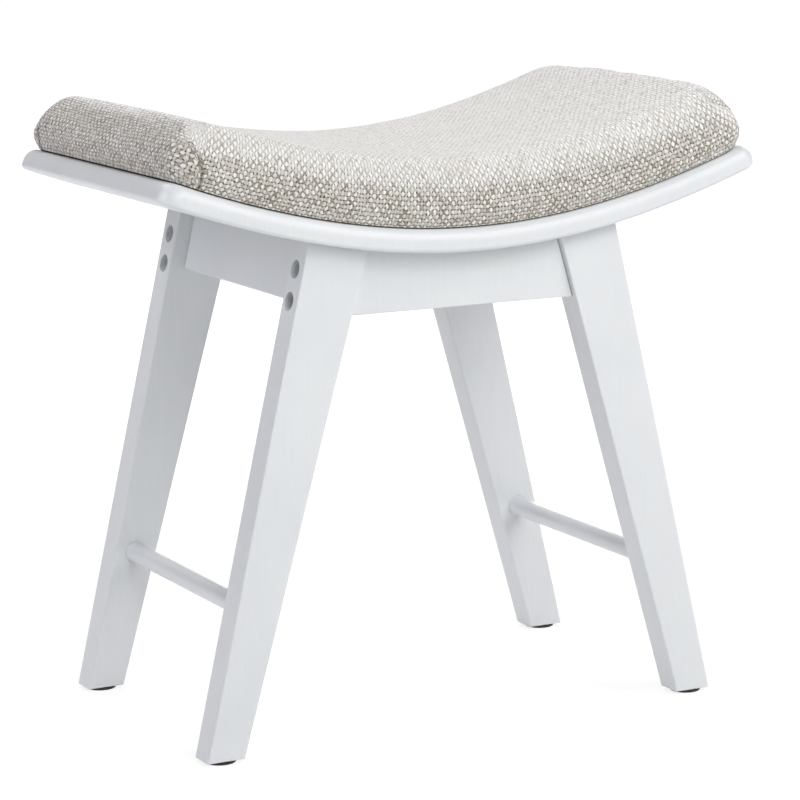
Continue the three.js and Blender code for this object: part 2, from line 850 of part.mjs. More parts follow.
// A barrel nut across the apron, with the bolt's cross hole and a slot in the end that shows.
function barrelNutGeometry() {
  const half = nutLength / 2;
  const at = (x, y) => new THREE.Vector3(x, y, 0);
  const body = bar(at(0, -half), at(0, half), nutRadius, holeSides);
  const hole = bar(at(-nutRadius - overrun, 0), at(nutRadius + overrun, 0), boltRadius + fit, hiddenSides);
  const slot = new THREE.BoxGeometry(2 * (nutRadius + overrun), 2 * nutSlotDepth, nutSlotWidth);
  slot.translate(0, half, 0);
  return cut(body, [hole, slot]);
}

function makeSeatScrew(name, x) {
  const seat = longApronBottom + seatScrewSinking - fit;
  const length = seatScrewTip(x) - seat;
  const geometry = screwGeometry(seatScrewRadius, seatScrewHeadRadius, seatScrewHeadHeight, length);
  const screw = mesh(name, geometry.rotateX(Math.PI / 2), finishes.zinc);
  screw.position.set(x, 0, seat);
  return screw;
}

// The front apron with what fastens it, about its own middle plane, its inner face at +Y. The back one is
// the same, turned, so its right end is the left one.
function makeLongApron(end, leftSide, rightSide) {
  const group = new THREE.Group();
  group.add(mesh(`apron_${end}`, longApronGeometry(), finishes.paint));
  for (const [side, facing] of [[leftSide, -1], [rightSide, 1]]) {
    boltHeights.forEach((height, i) => {
      const place = `${end}_${side}_${ranks[i]}`;
      const fastener = (name, geometry, x) => {
        const piece = mesh(name, geometry, finishes.zinc);
        piece.rotation.z = facing > 0 ? 0 : Math.PI;
        piece.position.set(facing * x, 0, height);
        group.add(piece);
      };
      const washerSeat = headSeat(height) + fit;
      fastener(`bolt_${place}`, boltGeometry(), washerSeat + washerThickness + fit);
      fastener(`washer_${place}`, washerGeometry(), washerSeat);
      const nut = mesh(`barrel_nut_${place}`, barrelNutGeometry(), finishes.zinc);
      nut.position.set(facing * nutPlace(height), 0, height);
      group.add(nut);
    });
    const x = facing * (seatScrewSpacing / 2);
    group.add(makeSeatScrew(`seat_screw_${end}_${side}`, x));
  }
  return group;
}

function makeStool() {
  const stool = new THREE.Group();
  const right = makeSideFrame('right', 'back', 'front');
  const left = makeSideFrame('left', 'front', 'back');
  left.rotation.z = Math.PI;
  const front = makeLongApron('front', 'left', 'right');
  front.position.y = -longApronPlace;
  const back = makeLongApron('back', 'right', 'left');
  back.rotation.z = Math.PI;
  back.position.y = longApronPlace;
  stool.add(right, left, front, back, makeSeatBoard(), makeCushionScrews());
  stool.add(makeCushionLining(), makeCushionPanel(), makeCushionFoam(), makeCushionCover());
  return stool;
}

export default makeStool();
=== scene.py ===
import math

import bmesh
import bpy
import numpy as np
from mathutils import Matrix, Vector, noise as space_noise
from mathutils.bvhtree import BVHTree
from mathutils.kdtree import KDTree


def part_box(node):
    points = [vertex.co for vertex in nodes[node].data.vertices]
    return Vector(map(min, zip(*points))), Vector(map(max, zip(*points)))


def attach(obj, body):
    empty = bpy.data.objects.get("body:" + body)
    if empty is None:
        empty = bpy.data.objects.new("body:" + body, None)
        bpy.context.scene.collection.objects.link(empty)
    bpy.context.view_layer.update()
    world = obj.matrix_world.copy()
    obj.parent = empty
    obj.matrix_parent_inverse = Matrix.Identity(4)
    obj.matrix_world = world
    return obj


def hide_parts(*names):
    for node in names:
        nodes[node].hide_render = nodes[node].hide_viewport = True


# A painted vanity stool with a saddle seat and a woven cushion. Metres, +Z up, +X along the seat, -Y front.
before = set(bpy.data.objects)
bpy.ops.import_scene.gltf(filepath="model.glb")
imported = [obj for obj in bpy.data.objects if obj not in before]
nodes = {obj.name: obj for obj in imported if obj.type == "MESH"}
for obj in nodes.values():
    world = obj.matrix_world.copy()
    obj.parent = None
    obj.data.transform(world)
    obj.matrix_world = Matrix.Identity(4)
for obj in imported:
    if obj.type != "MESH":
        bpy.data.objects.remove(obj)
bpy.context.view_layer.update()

# Camera, as it stood for the photograph
camera_azimuth = math.radians(-27.134)
camera_elevation = math.radians(10.451)
camera_roll = math.radians(-0.570)
camera_distance = 2.5067
camera_target_height = 0.2005
camera_target_right = 0.00858
camera_target_up = 0.03157
sensor_width = 0.036
focal_share = 3.9993  # focal length, in widths of the picture
millimetres = 1000  # in a metre

# Seat board, bent along a cosine wave from its lowest line at the middle
seat_length = 0.505  # along the curve
seat_width = 0.289
seat_thickness = 0.0185
seat_corner_radius = 0.015
saddle_wave_height = 0.245  # from the wave's dip to its crest
saddle_half_wave = 0.824  # from the dip to the crest, along the floor
seat_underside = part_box("seat_board")[0].z

board_top = 0.00805  # above the board's middle surface
upper_round = (0.0093, 0.0115)  # how far in and how far down it reaches
lower_round = 0.0035

# Holes in the board's underside, for the screws
cushion_screw_place = (0.150, 0.080)  # along, across
cushion_bore = (0.0046, 0.0032)  # radius, depth
seat_screw_radius = 0.0028
seat_screw_grip = 0.0133
hole_steps = 24

# Cushion, with levels measured from the board's middle surface
cushion_inset = 0.0069  # of the cushion's foot, from the board's edge
foot_level = board_top + 0.0008
swell_level = seat_thickness / 2 + 0.0103
shoulder_level = seat_thickness / 2 + 0.0482
cushion_swell = 0.0053
cushion_corner_radius = 0.017
shoulder_depth = 0.0191
shoulder_power = 1.82
middle_crown = 0.0021
middle_crown_powers = (7.8, 1.74)  # along, across
end_crowns = (0.0003, 0.0077)  # at the left end and the right end
end_rises = (-0.0031, 0.0008)  # of the whole section, at the left end and the right end
end_rise_power = 2.9
end_reaches = (0.0024, 0.0016)  # of the sides past the foot there, beyond the swell
end_reach_power = 8
foam_excess = 0.0001  # how much larger the pad starts, as the cover draws its edges in
skirt_drop = 0.008  # of the start shape's skirt below the foot, cut off when the pad has swelled
skirt_inset = 0.005
lump_height = 0.0003
lump_width = 0.035

# Simulation of the cover over its pad
voxel = 0.0045
cover_cloth = {
    "quality": 6,
    "mass": 0.3,
    "tension_stiffness": 12,
    "compression_stiffness": 12,
    "shear_stiffness": 6,
    "bending_stiffness": 0.8,
    "uniform_pressure_force": 4,
}
simulation_frames = 20
swell_cap = 0.0012
held_height = 0.002  # above the foot

# Corner seams: each lies on the side that follows its corner, and leans back over the corner as it rises
seam_start = 0.0158  # along the foot, from the corner's middle
seam_lean_share = 0.45  # how far it leans over at its top, of its height
seam_height = 0.030
seam_fade = 0.016  # the seam fades out over this height below its top
seam_depth = 0.0014
seam_width = 0.0013
seam_samples = 60
seam_refining = 0.007  # the mesh is finer this near a seam
stitch_length = 0.0034
stitch_pitch = 0.0046
stitch_radius = 0.00032
stitch_turn = math.radians(14)
stitch_tip_share = 0.45  # of the thread's width, at its ends
stitch_rise_share = 0.9  # of its radius, from the cloth up to its middle and down to its ends
stitch_rings = 7
stitch_sides = 8
seam_top_gap = 0.004  # from the shoulder's level down to where the seams part the cloth
seam_reach = 0.02  # how far from its corner a seam parts it

# Lining under the cushion
lining_levels = (board_top + 0.0002, board_top + 0.0007)
lining_inset = 0.0005  # from the cushion's foot

# Rods between the legs
paint_fillet = 0.0012
rod_chamfer = 0.0005
rod_steps = 48
fillet_steps = 6

# Softened edges
wood_edge = 0.0004
panel_edge = 0.0003
fastener_edge = 0.0002
edge_segments = 2
flat_angle = math.radians(1)  # faces that turn less than this are one
sharp_angle = math.radians(50)  # edges that turn more than this are softened

# Fineness
weld_reach = 0.00001  # corners this near are one
cut_reach = 1e-6  # points this near the cut at the foot lie on it
foot_margin = 1e-5  # the seams start this far above the foot
tiny = 1e-9  # the least number to divide by
arc_samples = 2001
inverse_rounds = 12
board_steps = {"along": 120, "across": 24, "corner": 12}
cushion_steps = {"along": 90, "across": 40, "corner": 10}
edge_steps = 12
wall_steps = 6
shoulder_steps = 18
top_steps = 30
top_ridge = 0.004  # half the width of the innermost ring

# Weave, with stops for how the cloth faces, from sideways (0) to up (1)
yarn_pitch_along = 0.00273
yarn_pitch_across = 0.00332
yarn_drifts = [(45, 3, 0.45), (330, 1, 0.42)]  # a noise's scale and detail, and its reach in yarns
yarn_drift_turn = (0.4, 0.9, 0.2)  # of that noise, for the yarns of the other way
strands = 3  # in each yarn
wave_crest = 0.85  # above this share of its wave, a yarn lies fully on top
weave_show_stops = [(0.0, 0.12), (0.12, 0.18), (0.22, 0.55), (0.40, 0.75), (0.85, 0.88)]
weave_show_base = -0.25
fleck_sway = 0.18  # how much flecks, a yarn's thickness and chance say about which yarn shows
thickness_sway = 0.14
crossing_sway = 0.15
light_shows = (-0.25, 0.30)  # from where only the dark yarn shows to where only the light one does
hollow_rim = 0.55  # how full a yarn is where the gap beside it ends
pinhole_rim = (0.25, 0.68)  # the same for a pinhole, at its bottom and its rim
ridge_power = 0.7
strand_relief = 0.05
fibre_relief = 0.25
weave_depth = 0.0006

# Colours of the yarns, by their tone. Each yarn has a darker copy for the sides and a lighter copy for the
# top, as painted light: the top takes more light than the sides
tone_apart = 7.31  # from one yarn to the next, in the noise that gives the tones
tone_drift = 0.25  # from one crossing to the next along a yarn, in that noise
fibre_tone = 0.10  # how much fibres, slubs and chance change a tone
slub_tone = 0.26
crossing_tone = 0.18
light_yarn_shaded_side = [(0.3, (0.56, 0.535, 0.495)), (0.5, (0.725, 0.705, 0.665)), (0.75, (0.85, 0.838, 0.805))]
light_yarn_lit_top = [(0.3, (0.74, 0.73, 0.71)), (0.5, (0.84, 0.835, 0.815)), (0.75, (0.905, 0.9, 0.885))]
dark_yarn_shaded_side = [(0.25, (0.268, 0.224, 0.172)), (0.48, (0.465, 0.434, 0.39)), (0.75, (0.615, 0.592, 0.55))]
dark_yarn_lit_top = [(0.25, (0.48, 0.41, 0.34)), (0.48, (0.66, 0.63, 0.59)), (0.75, (0.77, 0.75, 0.725))]
# Painted shade in the gaps beside the yarns and in the pinholes, darker on the sides than on the lit top
gap_painted_shade_side = (0.230, 0.185, 0.145)
gap_painted_shade_top = (0.540, 0.515, 0.485)
pinhole_painted_shade_side = (0.070, 0.049, 0.028)  # painted shade in the hole between four crossings
pinhole_painted_shade_top = (0.445, 0.402, 0.340)
light_yarn_lit_facing = (0.08, 0.30)  # where the light yarns and the gaps pass from their shaded side colours to their lit top colours, as painted light
dark_yarn_lit_facing = (0.12, 0.42)  # where the dark yarns and the pinholes pass from their shaded side colours to their lit top colours, as painted light
# Painted shadow along the seams, darkest in their grooves
painted_seam_shadow = (0.085, 0.060, 0.042)
painted_seam_shadow_share = 0.5
end_facing_power = 2.2  # the ends' cloth looks like a side's up to a steeper slope, so it shows more of the dark yarn and keeps more of the painted side shade
corner_stretch_and_highlight = 0.15  # how much further the cloth seems to face up where it is stretched round a corner, so more light yarns show there and it takes more of the lit top colours, as a painted highlight

# Shades of the other surfaces, from the darkest to the palest
paint_shades = ((0.664, 0.680, 0.692), (0.717, 0.732, 0.740))
lining_shades = (0.006, (0.03, 0.028, 0.027))
nylon_shades = (0.008, 0.022)
# Darker than bare zinc, as painted shade for the bolts deep in their counterbores
zinc_darkened_as_shade = ((0.34, 0.35, 0.36), (0.50, 0.51, 0.52))
thread_shades = ((0.10, 0.070, 0.050), (0.24, 0.18, 0.14))
beech_shades = ((0.45, 0.28, 0.15), (0.62, 0.42, 0.25))
plywood_shades = ((0.44, 0.30, 0.16), (0.60, 0.44, 0.26))
cloud_share = 0.55  # of the paint's shade, beside the grain's
peel_share = 0.4  # of the paint's relief, beside the grain's
leg_lean = math.radians(14.5)

# Ranges of a noise's values
whole_range = (0, 1)
fibre_range = (0.25, 0.75)
noise_range = (0.3, 0.7)  # where most of them lie

# Studio
floor_half = 15
floor_albedo = 0.86
floor_seen_albedo = 0.24
floor_glow = (0.80, 1.0)  # near the stool, and far from it
floor_glow_reach = (0.5, 2.2)
sky_colour = (0.93, 0.96, 1.0)
sky_strength = 0.08
lamp_aim = Vector((0, 0, 0.25))
lamp_distance = 3.3
lamp_size = 1.8
lamps = {  # azimuth and elevation in degrees, from straight in front; power; colour
    "front": (0, 30, 49, (0.985, 1.0, 0.99)),
    "right": (45, 40, 54, (1.0, 0.985, 1.0)),
    "left": (-90, 25, 43, (0.93, 0.93, 1.0)),
    "behind": (180, 55, 50, (1.0, 0.985, 0.97)),
    "far corner": (140, 12, 30, (1.0, 1.0, 1.0)),
}


# Small tools


def with_settings(thing, **settings):
    for name, value in settings.items():
        setattr(thing, name, value)
    return thing


def shade_smooth(mesh):
    mesh.polygons.foreach_set("use_smooth", [True] * len(mesh.polygons))


def new_piece(name, points, faces):
    """A smooth-shaded mesh object from arrays of points and lists of corners."""
    mesh = bpy.data.meshes.new(name)
    mesh.from_pydata([tuple(point) for point in points], [], faces)
    mesh.update()
    piece = bpy.data.objects.new(name, mesh)
    bpy.context.scene.collection.objects.link(piece)
    shade_smooth(mesh)
    return piece


def vectors_of(elements, field):
    flat = np.zeros(len(elements) * 3)
    elements.foreach_get(field, flat)
    return flat.reshape(-1, 3)


def points_of(mesh):
    return vectors_of(mesh.vertices, "co")


def normals_of(mesh):
    return vectors_of(mesh.vertices, "normal")


def set_points(mesh, points):
    mesh.vertices.foreach_set("co", np.asarray(points, float).ravel())
    mesh.update()


def surface_of(mesh):
    """A search tree over the mesh's faces."""
    work = bmesh.new()
    work.from_mesh(mesh)
    surface = BVHTree.FromBMesh(work)
    work.free()
    return surface


def modify(piece, name, kind, **settings):
    return with_settings(piece.modifiers.new(name, kind), **settings)


def bake_modifiers(piece):
    """Replaces the piece's mesh by what its modifiers make of it."""
    graph = bpy.context.evaluated_depsgraph_get()
    mesh = bpy.data.meshes.new_from_object(piece.evaluated_get(graph))
    piece.modifiers.clear()
    piece.data = mesh


def finish_piece(piece, material, slot, *replaced):
    """Gives the piece its material, and ties it to the frame."""
    piece.data.materials.clear()
    piece.data.materials.append(material)
    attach(piece, "root")
    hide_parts(*replaced)


def wall(count, rings):
    """The faces between each ring and the next, in a stack of rings with count points each."""
    faces = []
    for low in range(0, (rings - 1) * count, count):
        high = low + count
        for i in range(count):
            j = (i + 1) % count
            faces.append((low + i, low + j, high + j, high + i))
    return faces


def loft(rings):
    """Points and faces of the closed surface over a stack of rings. Its first and last ring are filled
    from front to back, because a ring's second half is its first half mirrored, in reverse."""
    count = len(rings[0])
    faces = wall(count, len(rings))
    last = (len(rings) - 1) * count
    for i in range(count // 2 - 1):
        far = count - 1 - i
        faces.append((last + i, last + i + 1, last + far - 1, last + far))
        faces.append((far, far - 1, i + 1, i))
    return np.concatenate(rings), faces


# The bend of the seat


def saddle_height(x):
    return saddle_wave_height / 2 * (1 - np.cos(np.pi * x / saddle_half_wave))


def saddle_slope(x):
    return saddle_wave_height / 2 * np.pi / saddle_half_wave * np.sin(np.pi * x / saddle_half_wave)


plan_samples = np.linspace(-seat_length / 2, seat_length / 2, arc_samples)
arc_steps = np.hypot(np.diff(plan_samples), np.diff(saddle_height(plan_samples)))
arc_values = np.concatenate([[0], np.cumsum(arc_steps)])
arc_values -= np.interp(0, plan_samples, arc_values)
seat_middle = seat_underside + seat_thickness / 2


def on_saddle(along, across, above):
    """Points of the bent seat, from their places along it, across it and above its middle surface."""
    x = np.interp(along, arc_values, plan_samples)
    tilt = np.arctan(saddle_slope(x))
    z = seat_middle + saddle_height(x)
    across = np.broadcast_to(across, np.shape(x))
    return np.stack([x - above * np.sin(tilt), across, z + above * np.cos(tilt)], -1)


def off_saddle(points):
    """The places along, across and above of points in space."""
    x = points[:, 0].copy()
    for _ in range(inverse_rounds):
        tilt = np.arctan(saddle_slope(x))
        drop = points[:, 2] - seat_middle - saddle_height(x)
        x += ((points[:, 0] - x) * np.cos(tilt) + drop * np.sin(tilt)) * np.cos(tilt)
    tilt = np.arctan(saddle_slope(x))
    drop = points[:, 2] - seat_middle - saddle_height(x)
    above = drop * np.cos(tilt) - (points[:, 0] - x) * np.sin(tilt)
    return np.interp(x, plan_samples, arc_values), points[:, 1], above


def saddle_up(along):
    """The seat's own upward direction at places along it."""
    tilt = np.arctan(saddle_slope(np.interp(along, arc_values, plan_samples)))
    return np.stack([-np.sin(tilt), np.zeros_like(tilt), np.cos(tilt)], -1)


def rounded_ring(half_length, half_width, radius, steps):
    """A rectangle with round corners as (along, across) points, from the left end round by the front."""
    side, end = half_length - radius, half_width - radius
    corner = [(half_length, -end * i / steps["across"]) for i in range(1, steps["across"], 2)]
    corner.append((half_length, -end))
    for i in range(1, steps["corner"]):
        angle = math.pi / 2 * i / steps["corner"]
        corner.append((side + radius * math.cos(angle), -end - radius * math.sin(angle)))
    front = [(-along, across) for along, across in corner]
    front += [(place, -half_width) for place in np.linspace(-side, side, steps["along"] + 1)]
    front += corner[::-1]
    ring = front + [(along, -across) for along, across in reversed(front)]
    return np.array(ring)


def seat_ring(half_length, half_width, radius, level, steps):
    ring = rounded_ring(half_length, half_width, radius, steps)
    return on_saddle(ring[:, 0], ring[:, 1], level)


# Node graphs, where a value is a node's output or a plain number


def new_material(name):
    material = bpy.data.materials.new(name)
    material.use_nodes = True
    return material, material.node_tree


def connect(tree, socket, value):
    """Links a socket to another node's output, or sets it to a plain value or colour."""
    if isinstance(value, bpy.types.NodeSocket):
        tree.links.new(value, socket)
    elif socket.type == "RGBA":
        socket.default_value = (*value, 1)
    elif value is not None:
        socket.default_value = value


def node(tree, kind, inputs=None, **settings):
    """A new node's outputs, from its inputs' values by name or number, and its settings."""
    made = with_settings(tree.nodes.new("ShaderNode" + kind), **settings)
    for name, value in (inputs or {}).items():
        connect(tree, made.inputs[name], value)
    return made.outputs


def maths(tree, operation, first, second=None):
    return node(tree, "Math", {0: first, 1: second}, operation=operation)[0]


def plus(tree, total, *others):
    for value in others:
        total = maths(tree, "ADD", total, value)
    return total


def times(tree, first, second):
    return maths(tree, "MULTIPLY", first, second)


def noise(tree, vector, scale, detail=2.0, roughness=0.5):
    inputs = {"Vector": vector, "Scale": scale, "Detail": detail, "Roughness": roughness}
    return node(tree, "TexNoise", inputs)["Fac"]


def ramp(tree, value, stops):
    """A colour ramp from (place, colour) stops. A plain number is a grey."""
    made = tree.nodes.new("ShaderNodeValToRGB")
    elements = made.color_ramp.elements
    while len(elements) < len(stops):
        elements.new(0.5)
    for element, (place, colour) in zip(elements, stops):
        element.position = place
        element.color = (*np.broadcast_to(colour, 3), 1)
    connect(tree, made.inputs["Fac"], value)
    return made.outputs["Color"]


def two_tone(tree, value, shades, low=0.3, high=0.7):
    """A colour that passes from the first shade to the second as the value goes from low to high."""
    return ramp(tree, value, [(low, shades[0]), (high, shades[1])])


def remap(tree, value, low, high, to_low, to_high, passing="LINEAR"):
    inputs = {"Value": value, "From Min": low, "From Max": high, "To Min": to_low, "To Max": to_high}
    return node(tree, "MapRange", inputs, interpolation_type=passing)["Result"]


def smooth_step(tree, value, low, high):
    return remap(tree, value, low, high, 0, 1, "SMOOTHSTEP")


def spread(tree, value, reach, bounds=noise_range):
    """The value, with its bounds moved to -reach and reach."""
    return remap(tree, value, *bounds, -reach, reach)


def mix_values(tree, share, first, second):
    return node(tree, "Mix", {0: share, 2: first, 3: second})[0]


def mix_colours(tree, share, first, second):
    return node(tree, "Mix", {0: share, 6: first, 7: second}, data_type="RGBA")[2]


def join(tree, x, y, z):
    return node(tree, "CombineXYZ", {0: x, 1: y, 2: z})[0]


def written(tree, name):
    """The outputs for values that are written on the mesh."""
    return node(tree, "Attribute", attribute_type="GEOMETRY", attribute_name=name)


def object_place(tree, turn=(0, 0, 0), stretch=(1, 1, 1)):
    """Object coordinates, turned and stretched."""
    place = node(tree, "TexCoord")["Object"]
    return node(tree, "Mapping", {"Vector": place, "Rotation": turn, "Scale": stretch})[0]


def set_shader(tree, colour, rough, relief, depth, strength=1.0):
    """Gives the material's shader its colour, roughness and relief, and returns it."""
    shader = tree.nodes["Principled BSDF"]
    bump = node(tree, "Bump", {"Strength": strength, "Distance": depth, "Height": relief})[0]
    for name, value in {"Base Color": colour, "Roughness": rough, "Normal": bump}.items():
        connect(tree, shader.inputs[name], value)
    return shader


# Materials


def paint(name, grain_turn):
    """Satin white paint over wood. The grain shows faintly along the piece."""
    material, tree = new_material(name)
    plain = object_place(tree)
    grain_place = object_place(tree, grain_turn, stretch=(1, 1, 0.035))
    grain = noise(tree, grain_place, scale=620, detail=4, roughness=0.6)
    cloud = noise(tree, plain, scale=14, detail=3)
    peel = noise(tree, plain, scale=900, detail=2)
    smear = noise(tree, plain, scale=55, detail=4)
    colour = two_tone(tree, mix_values(tree, cloud_share, grain, cloud), paint_shades)
    rough = remap(tree, smear, *noise_range, to_low=0.30, to_high=0.42)
    relief = mix_values(tree, peel_share, grain, peel)
    set_shader(tree, colour, rough, relief, depth=0.00012, strength=0.5)
    return material


def in_yarns(tree, length, pitch, place):
    """A length along the cloth, counted in yarns that wander a little."""
    drifts = []
    for scale, detail, reach in yarn_drifts:
        drifts.append(spread(tree, noise(tree, place, scale, detail), reach, whole_range))
    return plus(tree, maths(tree, "DIVIDE", length, pitch), plus(tree, *drifts))


def yarn_wave(tree, count):
    """How a yarn goes over and under, and how full it is from side to side."""
    wave = maths(tree, "SINE", times(tree, count, math.pi))
    return remap(tree, wave, -wave_crest, wave_crest, -1, 1), maths(tree, "ABSOLUTE", wave)


def strand_wave(tree, count):
    return times(tree, maths(tree, "SINE", times(tree, count, 2 * math.pi * strands)), strand_relief)


def yarn_tone(tree, number, along_yarn, seed):
    """A tone for each yarn by its number, which drifts slowly along it."""
    place = join(tree, times(tree, number, tone_apart), times(tree, along_yarn, tone_drift), seed)
    return noise(tree, place, scale=1.0, detail=2, roughness=0.6)


def crossing_chance(tree, first, second, seed):
    """A random value for each crossing, by its two yarns' numbers."""
    return node(tree, "TexWhiteNoise", {"Vector": join(tree, first, second, seed)})["Value"]


def yarn_colour(tree, share, tone, shaded_side_stops, lit_top_stops):
    """A yarn's colour by its tone, between its painted shaded copy for the sides and its painted lit copy
    for the top.
    """
    return mix_colours(tree, share, ramp(tree, tone, shaded_side_stops), ramp(tree, tone, lit_top_stops))


def woven_linen():
    """A plain weave of off-white yarns along one way and grey-brown ones along the other. Where the cloth is
    stretched over the top, more of the off-white yarns show. Light is painted in too: the top takes lighter
    copies of the colours than the sides, and the gaps, pinholes and seams take painted shade."""
    material, tree = new_material("linen")
    along, across, facing = node(tree, "SeparateXYZ", {0: written(tree, "cloth")["Vector"]})
    place = object_place(tree)
    u = in_yarns(tree, along, yarn_pitch_along, place)
    v = in_yarns(tree, across, yarn_pitch_across, object_place(tree, yarn_drift_turn))
    wave_u, round_u = yarn_wave(tree, u)
    wave_v, round_v = yarn_wave(tree, v)
    number_u = maths(tree, "FLOOR", u)
    number_v = maths(tree, "FLOOR", v)

    fleck = spread(tree, noise(tree, place, scale=900, detail=3, roughness=0.6), fleck_sway)
    thickness = spread(tree, yarn_tone(tree, number_u, v, seed=3.0), thickness_sway)
    chance = spread(tree, crossing_chance(tree, number_u, number_v, seed=0.0), crossing_sway, whole_range)
    show = plus(tree, ramp(tree, facing, weave_show_stops), weave_show_base, thickness, chance)
    crossing = plus(tree, times(tree, wave_u, wave_v), show, fleck)
    light_on_top = smooth_step(tree, crossing, *light_shows)

    fibre = noise(tree, place, scale=2600, detail=3, roughness=0.7)
    slub = noise(tree, place, scale=1000, detail=2, roughness=0.7)
    chance = spread(tree, crossing_chance(tree, number_v, number_u, seed=5.0), crossing_tone, whole_range)
    uneven = plus(tree, spread(tree, fibre, fibre_tone, fibre_range), spread(tree, slub, slub_tone), chance)
    strand_u = strand_wave(tree, u)
    strand_v = strand_wave(tree, v)
    light_tone = plus(tree, yarn_tone(tree, number_u, v, seed=0.0), uneven, strand_u)
    dark_tone = plus(tree, yarn_tone(tree, number_v, u, seed=9.0), uneven, strand_v)

    # Painted light: shares of the lit top colours over the shaded side ones, by how far the cloth faces up
    light_yarn_lit_share = smooth_step(tree, facing, *light_yarn_lit_facing)
    dark_yarn_lit_share = smooth_step(tree, facing, *dark_yarn_lit_facing)
    light = yarn_colour(tree, light_yarn_lit_share, light_tone, light_yarn_shaded_side, light_yarn_lit_top)
    dark = yarn_colour(tree, dark_yarn_lit_share, dark_tone, dark_yarn_shaded_side, dark_yarn_lit_top)
    yarns = mix_colours(tree, light_on_top, dark, light)
    # Painted shade in the gaps beside each yarn and in the pinholes between crossings
    hollow = mix_values(tree, light_on_top, round_v, round_u)
    filled = smooth_step(tree, hollow, 0, hollow_rim)
    colour = mix_colours(tree, filled, mix_colours(tree, light_yarn_lit_share, gap_painted_shade_side, gap_painted_shade_top), yarns)
    near_corner = plus(tree, maths(tree, "MAXIMUM", round_u, round_v), fleck)
    covered = smooth_step(tree, near_corner, *pinhole_rim)
    colour = mix_colours(tree, covered, mix_colours(tree, dark_yarn_lit_share, pinhole_painted_shade_side, pinhole_painted_shade_top), colour)
    # Painted shadow along the seams
    shaded = times(tree, written(tree, "seam")["Fac"], painted_seam_shadow_share)
    colour = mix_colours(tree, shaded, colour, painted_seam_shadow)

    dark_on_top = maths(tree, "SUBTRACT", 1.0, light_on_top)
    ridge_u = times(tree, maths(tree, "POWER", round_u, ridge_power), light_on_top)
    ridge_v = times(tree, maths(tree, "POWER", round_v, ridge_power), dark_on_top)
    fine = plus(tree, times(tree, strand_u, light_on_top), strand_v, times(tree, fibre, fibre_relief))
    relief = plus(tree, maths(tree, "MAXIMUM", ridge_u, ridge_v), fine)
    shader = set_shader(tree, colour, rough=0.95, relief=relief, depth=weave_depth, strength=0.8)
    shader.inputs["Specular IOR Level"].default_value = 0.2
    shader.inputs["Sheen Weight"].default_value = 0.2
    shader.inputs["Sheen Roughness"].default_value = 0.5
    return material


def black_cloth():
    material, tree = new_material("lining")
    fibre = noise(tree, object_place(tree), scale=1500, detail=4, roughness=0.7)
    colour = two_tone(tree, fibre, lining_shades, high=0.8)
    set_shader(tree, colour, rough=0.95, relief=fibre, depth=0.0002)
    return material


def black_nylon():
    material, tree = new_material("glide")
    speckle = noise(tree, object_place(tree), scale=1200, detail=3)
    scuffs = noise(tree, object_place(tree, turn=(0, 0, 0.6), stretch=(1, 0.1, 1)), scale=300, detail=3)
    rough = remap(tree, scuffs, *noise_range, to_low=0.4, to_high=0.65)
    set_shader(tree, two_tone(tree, speckle, nylon_shades, high=0.8), rough, speckle, depth=0.00008)
    return material


def zinc_steel():
    material, tree = new_material("zinc")
    spangle = noise(tree, object_place(tree), scale=700, detail=3)
    lines = noise(tree, object_place(tree, stretch=(0.15, 1, 1)), scale=2200, detail=3)
    rough = remap(tree, lines, *noise_range, to_low=0.28, to_high=0.46)
    # The darkened zinc stands in for the shade deep in the counterbores
    shader = set_shader(tree, two_tone(tree, spangle, zinc_darkened_as_shade), rough, lines, depth=0.00004)
    shader.inputs["Metallic"].default_value = 1
    return material


def raw_wood(name, shades, turn):
    material, tree = new_material(name)
    rings = noise(tree, object_place(tree, turn, stretch=(0.05, 1, 1)), scale=420, detail=5, roughness=0.6)
    rough = remap(tree, rings, *noise_range, to_low=0.55, to_high=0.75)
    set_shader(tree, two_tone(tree, rings, shades, low=0.32, high=0.62), rough, rings, depth=0.0001)
    return material


def thread_brown():
    material, tree = new_material("thread")
    twist = noise(tree, object_place(tree, turn=(0.5, 0.3, 0), stretch=(1, 1, 0.3)), scale=1800, detail=3)
    set_shader(tree, two_tone(tree, twist, thread_shades), rough=0.8, relief=twist, depth=0.0002)
    return material


# Pieces kept from the frame, with their edges softened


def dress(name, material, edge=wood_edge):
    """Gives a node its material, and rounds what is still sharp on it."""
    piece = nodes[name]
    piece.data.materials.clear()
    piece.data.materials.append(material)
    shade_smooth(piece.data)
    modify(piece, "Joined corners", "WELD", merge_threshold=weld_reach)
    modify(piece, "Flat faces", "DECIMATE", decimate_type="DISSOLVE", angle_limit=flat_angle)
    soft = {"limit_method": "ANGLE", "angle_limit": sharp_angle, "width": edge, "segments": edge_segments}
    modify(piece, "Soft edges", "BEVEL", **soft)
    modify(piece, "Even shading", "WEIGHTED_NORMAL")


# Seat board


def drill(along, across, low, high, radius):
    """Points and faces of a closed rod through the bent seat, square to it."""
    ends = [Vector(on_saddle(np.array(along), across, level)) for level in (low, high)]
    turn = (ends[1] - ends[0]).to_track_quat("Z", "Y")
    points = []
    for end in ends:
        for i in range(hole_steps):
            angle = 2 * math.pi * i / hole_steps
            points.append(end + turn @ Vector((radius * math.cos(angle), radius * math.sin(angle), 0)))
    faces = [tuple(range(hole_steps - 1, -1, -1)), tuple(range(hole_steps, 2 * hole_steps))]
    return points, faces + wall(hole_steps, 2)


def gather(parts):
    """Joins (points, faces) pairs into one pair."""
    points, faces = [], []
    for part_points, part_faces in parts:
        start = len(points)
        points += list(part_points)
        faces += [tuple(start + i for i in face) for face in part_faces]
    return points, faces


